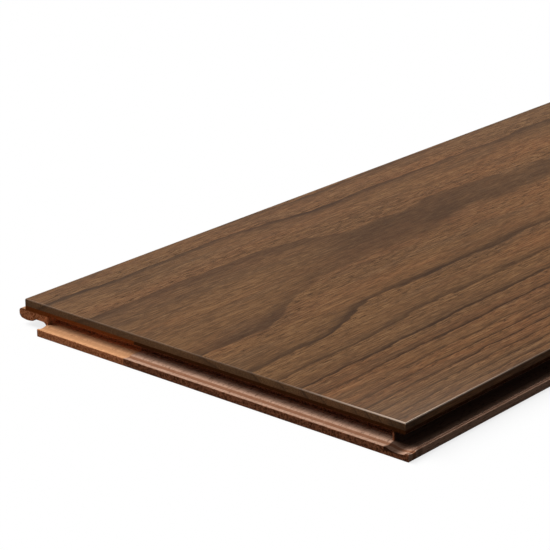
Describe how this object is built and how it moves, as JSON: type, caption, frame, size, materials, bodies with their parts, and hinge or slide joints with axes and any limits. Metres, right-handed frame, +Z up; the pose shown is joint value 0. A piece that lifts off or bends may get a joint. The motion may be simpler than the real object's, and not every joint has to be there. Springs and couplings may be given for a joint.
{
  "type": "wide plank floorboard",
  "caption": "Engineered wide plank floorboard: walnut face lamella on an edge-glued core, with a tongue, groove and locking lip on its edges for a glueless click floor.",
  "frame": {"origin": "on the underside, in the middle of the area that the board covers once it is laid", "axes": "+X along the board towards its tongue end, +Y across it towards its long tongue, +Z up through the walking face"},
  "size_m": [2.2111, 0.2311, 0.013],
  "materials": {
    "walnut_face": "oiled, satin",
    "core_wood_light": "raw, milled",
    "core_wood_dark": "raw, milled"
  },
  "bodies": {
    "root": {"face_lamella": "walnut_face", "core_stave_narrow": "core_wood_light", "core_stave_wide": "core_wood_dark"}
  },
  "joints": []
}
